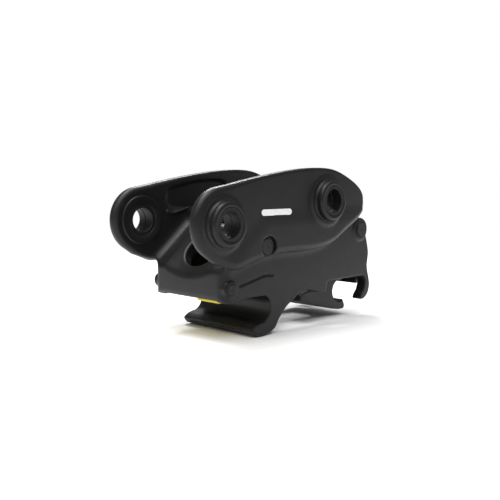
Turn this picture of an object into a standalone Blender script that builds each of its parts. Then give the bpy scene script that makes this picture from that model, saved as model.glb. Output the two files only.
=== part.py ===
"""Pin-grabber quick coupler for a 20 tonne class excavator, as separate pieces.

Everything is placed from the dipper pin axis: x runs rearwards, y along the pins, z up.
One empty carries the whole coupler, so that the model stands centred on z = 0.
All lengths are in metres.
"""
import math

import bmesh
import bpy

# --- driving dimensions -----------------------------------------------------------------
DIPPER_BORE = 0.080            # bore of the dipper and link pins
GAP = 0.0003                   # clearance between touching pieces
FRAME_SHIFT = (-0.35294, 0.3765)    # world x and z of the dipper pin axis

EAR_INNER, EAR_OUTER = 0.180, 0.218
COLLAR_END, COLLAR_RADIUS = 0.250, 0.069
BOSS_FACE, BOSS_RADIUS = 0.1745, 0.082
BUSH_RADIUS = 0.052
EAR_EDGE_ROUND = 0.013
NOSE_RADIUS = 0.112
WALL_INNER, WALL_OUTER = 0.1345, 0.172
CROSS_HALF = WALL_INNER - GAP
WALL_THICK = 0.012

DIPPER_AXIS = (0.0, 0.0)
LINK_AXIS = (0.489, 0.0626)
LOCK_AXIS = (0.069, -0.2065)
ANCHOR_AXIS = (0.195, -0.078)
HOOK_AXIS = (0.745, -0.049)
JAW_CENTRE = (0.210, -0.289)
FRONT_CORNER = (0.063, -0.2285)
SEAT_CENTRE = (0.688, -0.281)
SEAT_RADIUS = 0.040
FRONT_CORNER_RADIUS = 0.023

LOCK_PIN_RADIUS = 0.017
LOCK_EYE_RADIUS = 0.0245
LOCK_HALF = 0.116
LOCK_LIP_END = 0.010
ANCHOR_PIN_RADIUS = 0.026
HOOK_PIN_RADIUS = 0.025
ROD_PIN_RADIUS = 0.018
PIN_CLEARANCE = 0.0005
HOOK_HALF_WIDTH = 0.125

ROD_LEVER, ROD_LEVER_ANGLE = 0.125, -110.5     # rod pin seen from the hook axis
ROD_AXIS = (HOOK_AXIS[0] + ROD_LEVER * math.cos(math.radians(ROD_LEVER_ANGLE)),
            HOOK_AXIS[1] + ROD_LEVER * math.sin(math.radians(ROD_LEVER_ANGLE)))
CYLINDER_LENGTH = math.dist(ANCHOR_AXIS, ROD_AXIS)
CYLINDER_ANGLE = math.atan2(ROD_AXIS[1] - ANCHOR_AXIS[1], ROD_AXIS[0] - ANCHOR_AXIS[0])
BARREL_RADIUS, CYLINDER_BORE_RADIUS, ROD_RADIUS = 0.042, 0.033, 0.020

# --- colours: name -> (red, green, blue, roughness, metallic) -----------------------------
FINISHES = {
    "black_paint": (0.026, 0.027, 0.026, 0.42, 0.0),
    "yellow_paint": (0.80, 0.55, 0.02, 0.45, 0.0),
    "bare_steel": (0.30, 0.30, 0.30, 0.35, 1.0),
    "dark_steel": (0.10, 0.10, 0.10, 0.45, 1.0),
    "bronze": (0.50, 0.36, 0.16, 0.40, 1.0),
    "chrome": (0.70, 0.70, 0.72, 0.12, 1.0),
    "seal_rubber": (0.02, 0.02, 0.02, 0.70, 0.0),
    "white_film": (0.85, 0.85, 0.85, 0.50, 0.0),
}


def clear_scene():
    """Remove every object that the start-up file brought along."""
    for old in list(bpy.data.objects):
        bpy.data.objects.remove(old, do_unlink=True)


clear_scene()
PARTS = bpy.data.collections.new("quick_coupler")
CUTTERS = bpy.data.collections.new("quick_coupler_cutters")
bpy.context.scene.collection.children.link(PARTS)
bpy.context.scene.collection.children.link(CUTTERS)


def add_empty(name, x, z, parent=None):
    """An empty on a joint axis; with no parent it carries the whole coupler."""
    empty = bpy.data.objects.new(name, None)
    PARTS.objects.link(empty)
    empty.parent = parent
    empty.location = (x, 0.0, z)
    return empty


COUPLER = add_empty("coupler_origin", *FRAME_SHIFT)
HOOK_HINGE = add_empty("hook_hinge", *HOOK_AXIS, COUPLER)
LOCK_HINGE = add_empty("lock_hinge", *LOCK_AXIS, COUPLER)
CYLINDER_HINGE = add_empty("cylinder_hinge", *ANCHOR_AXIS, COUPLER)
ROD_SLIDE = add_empty("rod_slide", *ANCHOR_AXIS, COUPLER)


def finish(name, part_name):
    """A Principled material of its own for each part."""
    red, green, blue, roughness, metallic = FINISHES[name]
    material = bpy.data.materials.new(f"{part_name}_{name}")
    material.use_nodes = True
    shader = material.node_tree.nodes["Principled BSDF"]
    shader.inputs["Base Color"].default_value = (red, green, blue, 1.0)
    shader.inputs["Roughness"].default_value = roughness
    shader.inputs["Metallic"].default_value = metallic
    return material


def place(obj, parent):
    """Hang an object, whose mesh is drawn from the dipper pin axis, under its own empty."""
    obj.parent = parent
    if parent is not COUPLER:
        obj.location = tuple(spot - offset for spot, offset in zip(obj.location, parent.location))
    return obj


def smooth_shading(mesh):
    """Shade round stretches smooth and keep real corners sharp."""
    mesh.shade_smooth()
    mesh.set_sharp_from_angle(angle=math.radians(32))


def as_part(obj, look, parent=None):
    """File an object among the parts, give it its material and its parent."""
    for collection in list(obj.users_collection):
        collection.objects.unlink(obj)
    PARTS.objects.link(obj)
    obj.data.materials.clear()
    obj.data.materials.append(finish(look, obj.name))
    smooth_shading(obj.data)
    return place(obj, parent or COUPLER)


def as_tool(obj, parent=None):
    """File an object among the cutters and added shapes, which are not parts themselves."""
    for collection in list(obj.users_collection):
        collection.objects.unlink(obj)
    CUTTERS.objects.link(obj)
    obj.hide_render = True
    obj.display_type = "WIRE"
    smooth_shading(obj.data)
    return place(obj, parent or COUPLER)


def combine(obj, tool, operation):
    """Join a shape to an object or cut it out."""
    modifier = obj.modifiers.new(f"{operation.lower()}_{tool.name}", "BOOLEAN")
    modifier.operation = operation
    modifier.solver = "EXACT"
    modifier.object = tool


def bevel(obj, width, segments):
    """Round the right-angled edges, leaving shallow facets alone."""
    modifier = obj.modifiers.new("edge_round", "BEVEL")
    modifier.width = width
    modifier.segments = segments
    modifier.limit_method = "ANGLE"
    modifier.angle_limit = math.radians(60)


# --- outlines in the x-z plane ------------------------------------------------------------
def arc(centre, radius, start, end, steps):
    """Points on an arc, angles in degrees from +x towards +z."""
    angles = [math.radians(start + (end - start) * i / steps) for i in range(steps + 1)]
    return [(centre[0] + radius * math.cos(a), centre[1] + radius * math.sin(a)) for a in angles]


def smooth(points, steps=4):
    """A smooth curve through an open row of points."""
    ends = [points[0]] + list(points) + [points[-1]]
    curve = []
    for before, first, second, after in zip(ends, ends[1:], ends[2:], ends[3:]):
        for i in range(steps):
            t = i / steps
            curve.append(tuple(0.5 * (2 * b + (c - a) * t + (2 * a - 5 * b + 4 * c - d) * t ** 2
                                      + (3 * b - a - 3 * c + d) * t ** 3)
                               for a, b, c, d in zip(before, first, second, after)))
    return curve + [points[-1]]


def band(path, thickness):
    """The outline of a plate of even thickness on the right-hand side of a path."""
    inner = []
    for i, (x, z) in enumerate(path):
        ahead = path[min(i + 1, len(path) - 1)]
        behind = path[max(i - 1, 0)]
        run = math.dist(ahead, behind)
        inner.append((x + (ahead[1] - behind[1]) / run * thickness,
                      z - (ahead[0] - behind[0]) / run * thickness))
    return list(path) + inner[::-1]


# --- basic shapes ---------------------------------------------------------------------------
def prism(name, outline, y_from, y_to):
    """A flat outline in the x-z plane, extruded along y and turned into a closed mesh."""
    curve = bpy.data.curves.new(name + "_outline", "CURVE")
    curve.dimensions = "2D"
    curve.fill_mode = "BOTH"
    curve.extrude = abs(y_to - y_from) / 2
    spline = curve.splines.new("POLY")
    spline.points.add(len(outline) - 1)
    for point, (x, z) in zip(spline.points, outline):
        point.co = (x, z, 0.0, 1.0)
    spline.use_cyclic_u = True
    drawn = bpy.data.objects.new(name + "_drawn", curve)
    bpy.context.scene.collection.objects.link(drawn)
    bpy.context.view_layer.update()
    mesh = bpy.data.meshes.new_from_object(drawn.evaluated_get(bpy.context.evaluated_depsgraph_get()))
    bpy.data.objects.remove(drawn)
    shape = bmesh.new()
    shape.from_mesh(mesh)
    bmesh.ops.remove_doubles(shape, verts=shape.verts, dist=0.00001)
    bmesh.ops.dissolve_limit(shape, angle_limit=0.0001, verts=shape.verts, edges=shape.edges)
    bmesh.ops.recalc_face_normals(shape, faces=shape.faces)
    shape.to_mesh(mesh)
    shape.free()
    obj = bpy.data.objects.new(name, mesh)
    obj.location = (0.0, (y_from + y_to) / 2, 0.0)
    obj.rotation_euler = (math.radians(90), 0.0, 0.0)
    bpy.context.scene.collection.objects.link(obj)
    return obj


def bar(name, axis, radius, y_from, y_to, sides=32):
    """A round bar along y."""
    mesh = bpy.data.meshes.new(name)
    shape = bmesh.new()
    bmesh.ops.create_cone(shape, cap_ends=True, segments=sides, radius1=radius,
                          radius2=radius,
                          depth=abs(y_to - y_from))
    shape.to_mesh(mesh)
    shape.free()
    obj = bpy.data.objects.new(name, mesh)
    turn = -90 if y_to > y_from else 90
    obj.rotation_euler = (math.radians(turn), 0.0, 0.0)
    obj.location = (axis[0], (y_from + y_to) / 2, axis[1])
    bpy.context.scene.collection.objects.link(obj)
    return obj


def block(name, centre, size, tilt=0.0):
    """A box, tilted about y."""
    bpy.ops.mesh.primitive_cube_add(size=1.0)
    obj = bpy.context.active_object
    obj.name = name
    for vertex in obj.data.vertices:
        vertex.co = [value * length for value, length in zip(vertex.co, size)]
    obj.location = centre
    obj.rotation_euler = (0.0, tilt, 0.0)
    return obj


def turned(name, profile, closed=False, sides=28):
    """A profile of (radius, height) turned about z; it runs down the outer side."""
    mesh = bpy.data.meshes.new(name)
    shape = bmesh.new()
    corners = [shape.verts.new((radius, 0.0, height)) for radius, height in profile]
    for first, second in zip(corners, corners[1:]):
        shape.edges.new((first, second))
    if closed:
        shape.edges.new((corners[-1], corners[0]))
    shape.to_mesh(mesh)
    shape.free()
    obj = bpy.data.objects.new(name, mesh)
    screw = obj.modifiers.new("turn", "SCREW")
    screw.steps = sides
    screw.render_steps = sides
    screw.use_merge_vertices = True
    screw.merge_threshold = 0.00001
    bpy.context.scene.collection.objects.link(obj)
    return obj


def ring(name, axis, inner, outer, y_from, y_to, sides=28):
    """A plain ring or bush along y."""
    half = abs(y_to - y_from) / 2
    obj = turned(name, [(outer, half), (outer, -half), (inner, -half), (inner, half)], True, sides)
    obj.rotation_euler = (math.radians(90), 0.0, 0.0)
    obj.location = (axis[0], (y_from + y_to) / 2, axis[1])
    return obj


def on_cylinder(obj, along, lift=0.0):
    """Put a shape drawn about z on the cylinder axis, a distance along it and above it."""
    cosine, sine = math.cos(CYLINDER_ANGLE), math.sin(CYLINDER_ANGLE)
    obj.rotation_euler = (0.0, math.radians(90) - CYLINDER_ANGLE, 0.0)
    obj.location = (ANCHOR_AXIS[0] + along * cosine - lift * sine, 0.0,
                    ANCHOR_AXIS[1] + along * sine + lift * cosine)
    return obj


# --- outer frame --------------------------------------------------------------------------------
def ear_outline():
    """Side view of an ear: round nose, long crowned top, rounded rear and stepped lower edge."""
    nose = arc(DIPPER_AXIS, NOSE_RADIUS, 84, 232, 18)
    lower = smooth([(-0.030, -0.114), (0.020, -0.131), (0.062, -0.135), (0.120, -0.120),
                    (0.211, -0.101), (0.305, -0.096), (0.425, -0.096), (0.526, -0.078),
                    (0.607, -0.037), (0.680, 0.000), (0.712, 0.022)], 2)
    rear = smooth([(0.718, 0.050), (0.709, 0.083), (0.676, 0.114), (0.603, 0.148),
                   (0.533, 0.169), (0.455, 0.175), (0.350, 0.169), (0.230, 0.153),
                   (0.100, 0.130), (0.040, 0.116)], 2)
    return nose + lower + rear


def front_path():
    """Outer line of the front: upright face, then the dished ramp up between the ears."""
    return (arc(FRONT_CORNER, FRONT_CORNER_RADIUS, 235, 180, 4)
            + [(0.040, -0.170)] + arc((0.072, -0.170), 0.032, 170, 140, 3)
            + smooth([(0.062, -0.130), (0.105, -0.091), (0.150, -0.053), (0.192, -0.020)], 2))


def jaw_mouth():
    """The front jaw's mouth, from the roof's front corner round the seat to the tongue tip."""
    return ([(0.135, -0.243), (0.215, -0.243)] + arc((0.218, -0.277), 0.034, 90, 10, 6)
            + [(0.2525, -0.292)] + arc(JAW_CENTRE, 0.0425, -8, -92, 7)
            + [(0.190, -0.3365), (0.177, -0.344)])


def jaw_underside():
    """Under the tongue and up behind the seat to the belly line."""
    return ([(0.170, -0.350), (0.172, -0.358), (0.186, -0.372), (0.206, -0.3765)]
            + smooth([(0.226, -0.3755), (0.264, -0.361), (0.284, -0.343), (0.300, -0.316),
                      (0.330, -0.292), (0.362, -0.276)], 3))


def side_plate_outline():
    """Side view of a lower side plate, clockwise from the front face."""
    top = [(0.225, -0.016), (0.560, -0.020), (0.640, -0.010), (0.700, -0.016)]
    rear = (arc(HOOK_AXIS, 0.041, 110, -20, 8)
            + smooth([(0.792, -0.086), (0.806, -0.140), (0.800, -0.195), (0.815, -0.245),
                      (0.817, -0.280), (0.804, -0.314)], 2)
            + [(0.795, -0.318), (0.763, -0.318), (0.757, -0.312), (0.764, -0.298), (0.779, -0.284)])
    rear_mouth = ([(0.787, -0.262)] + arc((0.765, -0.249), 0.022, 0, 90, 4)
                  + arc((0.570, -0.247), 0.020, 90, 180, 4))
    belly = smooth([(0.546, -0.264), (0.520, -0.266), (0.480, -0.255), (0.435, -0.246),
                    (0.398, -0.255), (0.373, -0.272)], 2)
    corner = [(0.098, -0.2465)] + arc(FRONT_CORNER, FRONT_CORNER_RADIUS, 270, 242, 2)
    return (front_path() + top + rear + rear_mouth + belly
            + jaw_underside()[::-1] + jaw_mouth()[::-1] + corner)


def build_ear(side, sign):
    """Ear plate with the pad that laps the side plate, bored for its two hubs."""
    ear = prism(f"{side}_ear", ear_outline(), sign * EAR_INNER, sign * EAR_OUTER)
    bevel(ear, EAR_EDGE_ROUND, 2)
    as_part(ear, "black_paint")
    pad = prism(f"{side}_shoulder_pad",
                [(0.085, -0.111), (0.120, -0.084), (0.190, -0.034), (0.585, -0.034),
                 (0.530, -0.068), (0.425, -0.086), (0.305, -0.086), (0.211, -0.091),
                 (0.125, -0.108)],
                sign * (WALL_OUTER + GAP), sign * 0.197)
    combine(ear, as_tool(pad), "UNION")
    for pin, axis in (("dipper", DIPPER_AXIS), ("link", LINK_AXIS)):
        seat = bar(f"{side}_{pin}_hub_seat", axis, COLLAR_RADIUS + GAP, sign * 0.16, sign * 0.26)
        combine(ear, as_tool(seat), "DIFFERENCE")
    bore = bar(f"{side}_anchor_bore", ANCHOR_AXIS, ANCHOR_PIN_RADIUS + PIN_CLEARANCE,
               sign * 0.16, sign * 0.26)
    combine(ear, as_tool(bore), "DIFFERENCE")
    recess = bar(f"{side}_anchor_recess", ANCHOR_AXIS, 0.0335, sign * 0.207, sign * 0.26)
    combine(ear, as_tool(recess), "DIFFERENCE")


def build_hub(name, axis, sign):
    """Collar welded through an ear: a thrust flange on the inside, a long collar outside."""
    hub = turned(name, [(COLLAR_RADIUS - GAP, COLLAR_END), (COLLAR_RADIUS - GAP, EAR_INNER - GAP),
                        (BOSS_RADIUS, EAR_INNER - GAP), (BOSS_RADIUS, BOSS_FACE),
                        (BUSH_RADIUS, BOSS_FACE), (BUSH_RADIUS, COLLAR_END)], True, 36)
    hub.rotation_euler = (math.radians(-90 * sign), 0.0, 0.0)
    hub.location = (axis[0], 0.0, axis[1])
    as_part(hub, "black_paint")


def build_side_plate(side, sign):
    """Lower side plate with the fixed front jaw, the belly arch and the rear prong."""
    plate = prism(f"{side}_side_plate", side_plate_outline(), sign * WALL_INNER, sign * WALL_OUTER)
    as_part(plate, "black_paint")
    for pin, axis, radius in (("hook", HOOK_AXIS, 0.0405), ("lock", LOCK_AXIS, 0.0275)):
        boss = bar(f"{side}_{pin}_pin_boss", axis, radius, sign * 0.150, sign * 0.177)
        combine(plate, as_tool(boss), "UNION")
    for pin, axis, radius in (("hook", HOOK_AXIS, HOOK_PIN_RADIUS), ("lock", LOCK_AXIS, LOCK_PIN_RADIUS),
                              ("anchor", ANCHOR_AXIS, ANCHOR_PIN_RADIUS)):
        bore = bar(f"{side}_plate_{pin}_bore", axis, radius + PIN_CLEARANCE,
                   sign * 0.12, sign * 0.19)
        combine(plate, as_tool(bore), "DIFFERENCE")


def build_frame():
    """The welded frame: two ears, two side plates and the pieces that cross between them."""
    for side, sign in (("left", -1), ("right", 1)):
        build_ear(side, sign)
        build_side_plate(side, sign)
        for pin, axis in (("dipper", DIPPER_AXIS), ("link", LINK_AXIS)):
            bush = ring(f"{pin}_bush_{side}", axis, DIPPER_BORE / 2, BUSH_RADIUS - GAP,
                        sign * (BOSS_FACE + 0.001), sign * (COLLAR_END - 0.0005))
            as_part(bush, "dark_steel")
            build_hub(f"{pin}_hub_{side}", axis, sign)

    wall = prism("front_wall", band(front_path() + [(0.214, -0.002), (0.230, 0.018)], WALL_THICK),
                 -CROSS_HALF, CROSS_HALF)
    as_part(wall, "black_paint")
    hole = bar("service_hole", (0.119, -0.081), 0.074, -0.05, 0.05)
    hole.rotation_euler = (0.0, math.radians(-41.0), 0.0)
    combine(wall, as_tool(hole), "DIFFERENCE")
    relief = bar("front_wall_lock_relief", LOCK_AXIS, LOCK_EYE_RADIUS + 0.0008, -0.15, 0.15)
    combine(wall, as_tool(relief), "DIFFERENCE")

    behind_seat = smooth([(0.292, -0.312), (0.300, -0.285), (0.296, -0.250), (0.278, -0.222),
                          (0.252, -0.208)], 3)
    throat = [(0.190, -0.212), (0.190, -0.243), (0.215, -0.243)]
    jaw = prism("front_jaw", throat + jaw_mouth()[2:] + jaw_underside()[:-6] + behind_seat,
                -CROSS_HALF, CROSS_HALF)
    as_part(jaw, "black_paint")

    web = prism("belly_web", [(0.262, -0.2065), (0.262, -0.150), (0.278, -0.150), (0.278, -0.2155)],
                -CROSS_HALF, CROSS_HALF)
    as_part(web, "black_paint")
    rear = prism("rear_wall", band([(0.7895, -0.262), (0.7895, -0.215), (0.786, -0.170),
                                    (0.786, -0.118)], 0.014), -CROSS_HALF, CROSS_HALF)
    as_part(rear, "black_paint")


# --- pins and their rings -------------------------------------------------------------------------
def build_fixed_pin(name, axis, radius, half_length, ring_at):
    """A round pin right across the frame with a retaining ring near each end."""
    pin = bar(f"{name}_pin", axis, radius, -half_length, half_length)
    bevel(pin, 0.0015, 1)
    as_part(pin, "black_paint")
    for side, sign in (("left", -1), ("right", 1)):
        retainer = ring(f"{name}_ring_{side}", axis, radius + GAP, radius + 0.0065,
                        sign * ring_at, sign * (ring_at + 0.003))
        as_part(retainer, "dark_steel")


# --- front lock -----------------------------------------------------------------------------------------
def build_front_lock():
    """Yellow swinging bar behind the front face that closes the front jaw, with a lip on one half."""
    outline = (arc(LOCK_AXIS, LOCK_EYE_RADIUS, 40, 262, 12) + [(0.076, -0.2415), (0.150, -0.2535)]
               + arc((0.156, -0.2435), 0.010, -90, 40, 5) + [(0.140, -0.222)])
    lock = prism("front_lock", outline, -LOCK_HALF, LOCK_HALF)
    lip = [(0.0725, -0.235), (0.0735, -0.254), (0.090, -0.255), (0.120, -0.252), (0.120, -0.235)]
    combine(lock, as_tool(prism("front_lock_lip", lip, -LOCK_HALF, LOCK_LIP_END)), "UNION")
    as_part(lock, "yellow_paint", LOCK_HINGE)
    bore = bar("front_lock_bore", LOCK_AXIS, LOCK_PIN_RADIUS + PIN_CLEARANCE, -0.14, 0.14)
    combine(lock, as_tool(bore, LOCK_HINGE), "DIFFERENCE")
    for side, sign in (("left", -1), ("right", 1)):
        as_part(torsion_spring(f"lock_spring_{side}", sign), "bare_steel")


def torsion_spring(name, sign):
    """Two and a half turns of wire about the lock pin, with a leg on the frame."""
    wire, coil_radius, turns, steps = 0.0018, 0.0210, 2.5, 10
    curve = bpy.data.curves.new(name + "_wire", "CURVE")
    curve.dimensions = "3D"
    curve.bevel_depth = wire
    curve.bevel_resolution = 2
    curve.use_fill_caps = True
    points = []
    for i in range(int(turns * steps) + 1):
        angle = math.radians(90) + 2 * math.pi * i / steps
        points.append((LOCK_AXIS[0] + coil_radius * math.cos(angle),
                       sign * (0.1195 + 0.0105 * i / (turns * steps)),
                       LOCK_AXIS[1] + coil_radius * math.sin(angle)))
    last = points[-1]
    points.append((last[0] + 0.022, last[1], last[2] + 0.001))
    spline = curve.splines.new("POLY")
    spline.points.add(len(points) - 1)
    for point, spot in zip(spline.points, points):
        point.co = (*spot, 1.0)
    return curve_to_mesh(name, curve)


def curve_to_mesh(name, curve):
    """A closed mesh from a filled, bevelled curve, its caps welded on."""
    drawn = bpy.data.objects.new(name + "_drawn", curve)
    bpy.context.scene.collection.objects.link(drawn)
    bpy.context.view_layer.update()
    mesh = bpy.data.meshes.new_from_object(drawn.evaluated_get(bpy.context.evaluated_depsgraph_get()))
    bpy.data.objects.remove(drawn)
    shape = bmesh.new()
    shape.from_mesh(mesh)
    bmesh.ops.remove_doubles(shape, verts=shape.verts, dist=0.00001)
    bmesh.ops.recalc_face_normals(shape, faces=shape.faces)
    shape.to_mesh(mesh)
    shape.free()
    obj = bpy.data.objects.new(name, mesh)
    bpy.context.scene.collection.objects.link(obj)
    return obj


# --- rear hook ---------------------------------------------------------------------------------------------
def hook_outline():
    """Side view of the moving hook: eye, body, forward toe, lip and pin seat."""
    eye = arc(HOOK_AXIS, 0.041, -25, 192, 16)
    front = smooth([(0.690, -0.080), (0.664, -0.130), (0.645, -0.180), (0.612, -0.232),
                    (0.545, -0.256), (0.480, -0.266)], 3)
    toe = smooth([(0.462, -0.274), (0.457, -0.287), (0.466, -0.300), (0.534, -0.318),
                  (0.603, -0.336), (0.680, -0.352), (0.715, -0.352)], 3)
    lip = [(0.722, -0.344), (0.7175, -0.329)]
    seat = arc(SEAT_CENTRE, SEAT_RADIUS, -58, -285, 14)
    back = smooth([(0.706, -0.238), (0.722, -0.226), (0.742, -0.180), (0.766, -0.120)], 3)
    return eye + front + toe + lip + seat + back


def build_hook():
    """Moving rear hook, forked for the cylinder, with its bushes and the rod pin."""
    hook = prism("rear_hook", hook_outline(), -HOOK_HALF_WIDTH, HOOK_HALF_WIDTH)
    as_part(hook, "black_paint", HOOK_HINGE)
    tools = (
        block("hook_rod_slot", (0.590, 0.0, -0.168), (0.360, 0.076, 0.124)),
        block("hook_toe_fork", (0.500, 0.0, -0.260), (0.190, 0.110, 0.200)),
        bar("hook_eye_bore", HOOK_AXIS, 0.0310, -0.14, 0.14),
        bar("hook_rod_pin_bore", ROD_AXIS, ROD_PIN_RADIUS + PIN_CLEARANCE, -0.14, 0.14),
    )
    for tool in tools:
        combine(hook, as_tool(tool, HOOK_HINGE), "DIFFERENCE")
    for side, sign in (("left", -1), ("right", 1)):
        bush = ring(f"hook_bush_{side}", HOOK_AXIS, HOOK_PIN_RADIUS + 0.0006, 0.0310 - GAP,
                    sign * 0.070, sign * HOOK_HALF_WIDTH)
        as_part(bush, "bronze", HOOK_HINGE)
        retainer = ring(f"rod_pin_ring_{side}", ROD_AXIS, ROD_PIN_RADIUS + GAP,
                        ROD_PIN_RADIUS + 0.006, sign * 0.1255, sign * 0.1280)
        as_part(retainer, "dark_steel", HOOK_HINGE)
    pin = bar("rod_pin", ROD_AXIS, ROD_PIN_RADIUS, -0.1310, 0.1310)
    as_part(pin, "bare_steel", HOOK_HINGE)


# --- hydraulic cylinder ---------------------------------------------------------------------------------------
def tube_section(inner, outer, start, end):
    """Closed profile of a plain tube between two distances along the cylinder."""
    return [(outer, end), (outer, start), (inner, start), (inner, end)]


def build_cylinder():
    """Everything that swings about the anchor pin with the barrel."""
    barrel = on_cylinder(turned("cylinder_barrel", tube_section(CYLINDER_BORE_RADIUS, BARREL_RADIUS,
                                                                0.0603, 0.3400), True), 0.0)
    as_part(barrel, "black_paint", CYLINDER_HINGE)

    base = bar("cylinder_base", ANCHOR_AXIS, 0.035, -0.036, 0.036)
    as_part(base, "black_paint", CYLINDER_HINGE)
    plug = on_cylinder(turned("base_plug", [(0.0, 0.080), (CYLINDER_BORE_RADIUS - GAP, 0.080),
                                            (CYLINDER_BORE_RADIUS - GAP, 0.060),
                                            (BARREL_RADIUS, 0.060), (BARREL_RADIUS, 0.042),
                                            (0.030, 0.020), (0.0, 0.020)]), 0.0)
    combine(base, as_tool(plug, CYLINDER_HINGE), "UNION")
    bore = bar("base_bore", ANCHOR_AXIS, ANCHOR_PIN_RADIUS + 0.0008, -0.05, 0.05)
    combine(base, as_tool(bore, CYLINDER_HINGE), "DIFFERENCE")

    gland = turned("cylinder_gland",
                   [(BARREL_RADIUS, 0.3560), (BARREL_RADIUS, 0.3403),
                    (CYLINDER_BORE_RADIUS - GAP, 0.3403), (CYLINDER_BORE_RADIUS - GAP, 0.3150),
                    (ROD_RADIUS + 0.0005, 0.3150), (ROD_RADIUS + 0.0005, 0.3560)], True)
    as_part(on_cylinder(gland, 0.0), "dark_steel", CYLINDER_HINGE)
    wiper = turned("rod_wiper", tube_section(ROD_RADIUS + 0.0005, 0.030, 0.3563, 0.3610), True)
    as_part(on_cylinder(wiper, 0.0), "seal_rubber", CYLINDER_HINGE)

    valve = on_cylinder(block("check_valve", (0, 0, 0), (0.034, 0.056, 0.070)), 0.150, 0.0520)
    as_part(valve, "bare_steel", CYLINDER_HINGE)
    saddle = on_cylinder(bar("valve_saddle", (0, 0), BARREL_RADIUS + GAP, -0.1, 0.1), 0.150)
    combine(valve, as_tool(saddle, CYLINDER_HINGE), "DIFFERENCE")
    for name, y in (("port_adapter_open", -0.015), ("port_adapter_close", 0.015)):
        adapter = turned(name, [(0.0, 0.016), (0.0055, 0.016), (0.0055, 0.009), (0.009, 0.009),
                                (0.009, 0.0), (0.0, 0.0)], sides=24)
        on_cylinder(adapter, 0.140, 0.0693)
        adapter.rotation_euler = (0.0, -CYLINDER_ANGLE, 0.0)
        adapter.location = (adapter.location[0], y, adapter.location[2])
        as_part(adapter, "bare_steel", CYLINDER_HINGE)
    as_part(transfer_tube(), "bare_steel", CYLINDER_HINGE)


def transfer_tube():
    """Hard line from the valve to the rod end of the barrel."""
    cosine, sine = math.cos(CYLINDER_ANGLE), math.sin(CYLINDER_ANGLE)
    curve = bpy.data.curves.new("transfer_line", "CURVE")
    curve.dimensions = "3D"
    curve.bevel_depth = 0.005
    curve.bevel_resolution = 2
    curve.use_fill_caps = True
    route = [(0.1853, 0.058), (0.270, 0.058)] + arc((0.286, 0.044), 0.014, 90, 0, 4) + [(0.300, 0.0428)]
    spline = curve.splines.new("POLY")
    spline.points.add(len(route) - 1)
    for point, (along, lift) in zip(spline.points, route):
        point.co = (ANCHOR_AXIS[0] + along * cosine - lift * sine, 0.0,
                    ANCHOR_AXIS[1] + along * sine + lift * cosine, 1.0)
    return curve_to_mesh("transfer_tube", curve)


def build_rod():
    """Everything that slides with the rod: piston, seal, nut, rod, rod eye and its nipple."""
    outer = CYLINDER_BORE_RADIUS - GAP
    piston = turned("piston", [(outer, 0.215), (outer, 0.203), (0.029, 0.203), (0.029, 0.193),
                               (outer, 0.193), (outer, 0.181), (0.0123, 0.181), (0.0123, 0.215)], True)
    as_part(on_cylinder(piston, 0.0), "bare_steel", ROD_SLIDE)
    seal = turned("piston_seal", tube_section(0.0293, outer, 0.1933, 0.2027), True)
    as_part(on_cylinder(seal, 0.0), "seal_rubber", ROD_SLIDE)
    rod = turned("piston_rod", [(0.0, 0.468), (ROD_RADIUS, 0.468), (ROD_RADIUS, 0.2153),
                                (0.0120, 0.2153), (0.0120, 0.168), (0.0, 0.168)])
    as_part(on_cylinder(rod, 0.0), "chrome", ROD_SLIDE)
    nut = turned("piston_nut", tube_section(0.0123, 0.021, 0.169, 0.1807), True)
    as_part(on_cylinder(nut, 0.0), "bare_steel", ROD_SLIDE)

    eye = bar("rod_eye", ROD_AXIS, 0.034, -0.034, 0.034)
    as_part(eye, "dark_steel", ROD_SLIDE)
    neck = on_cylinder(turned("rod_eye_neck", [(0.0, 0.500), (0.024, 0.500), (0.024, 0.4683),
                                               (0.0, 0.4683)]), 0.0)
    combine(eye, as_tool(neck, ROD_SLIDE), "UNION")
    bore = bar("rod_eye_bore", ROD_AXIS, ROD_PIN_RADIUS + 0.0030, -0.05, 0.05)
    combine(eye, as_tool(bore, ROD_SLIDE), "DIFFERENCE")


# --- labels -----------------------------------------------------------------------------------------------------
def build_labels():
    """Plain film labels with rounded ends, one on the outside of each ear."""
    outline = (arc((0.292, 0.030), 0.010, -90, 90, 8) + arc((0.170, 0.030), 0.010, 90, 270, 8))
    for side, sign in (("left", -1), ("right", 1)):
        label = prism(f"blank_label_{side}", outline, sign * (EAR_OUTER + GAP),
                      sign * (EAR_OUTER + 0.0012))
        as_part(label, "white_film")


build_frame()
build_fixed_pin("lock", LOCK_AXIS, LOCK_PIN_RADIUS, 0.1830, 0.1773)
build_fixed_pin("anchor", ANCHOR_AXIS, ANCHOR_PIN_RADIUS, 0.2140, 0.2073)
build_fixed_pin("hook", HOOK_AXIS, HOOK_PIN_RADIUS, 0.1830, 0.1773)
build_front_lock()
build_hook()
build_cylinder()
build_rod()
build_labels()
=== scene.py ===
"""Looks of the quick coupler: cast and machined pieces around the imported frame.

Shapes are drawn from the dipper pin axis (x rearwards, y along the pins, z up, in metres)
and moved to the frame's own place when their mesh is made.
"""
import math

import bmesh
import bpy
import numpy as np
from mathutils import Matrix, Vector


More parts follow.
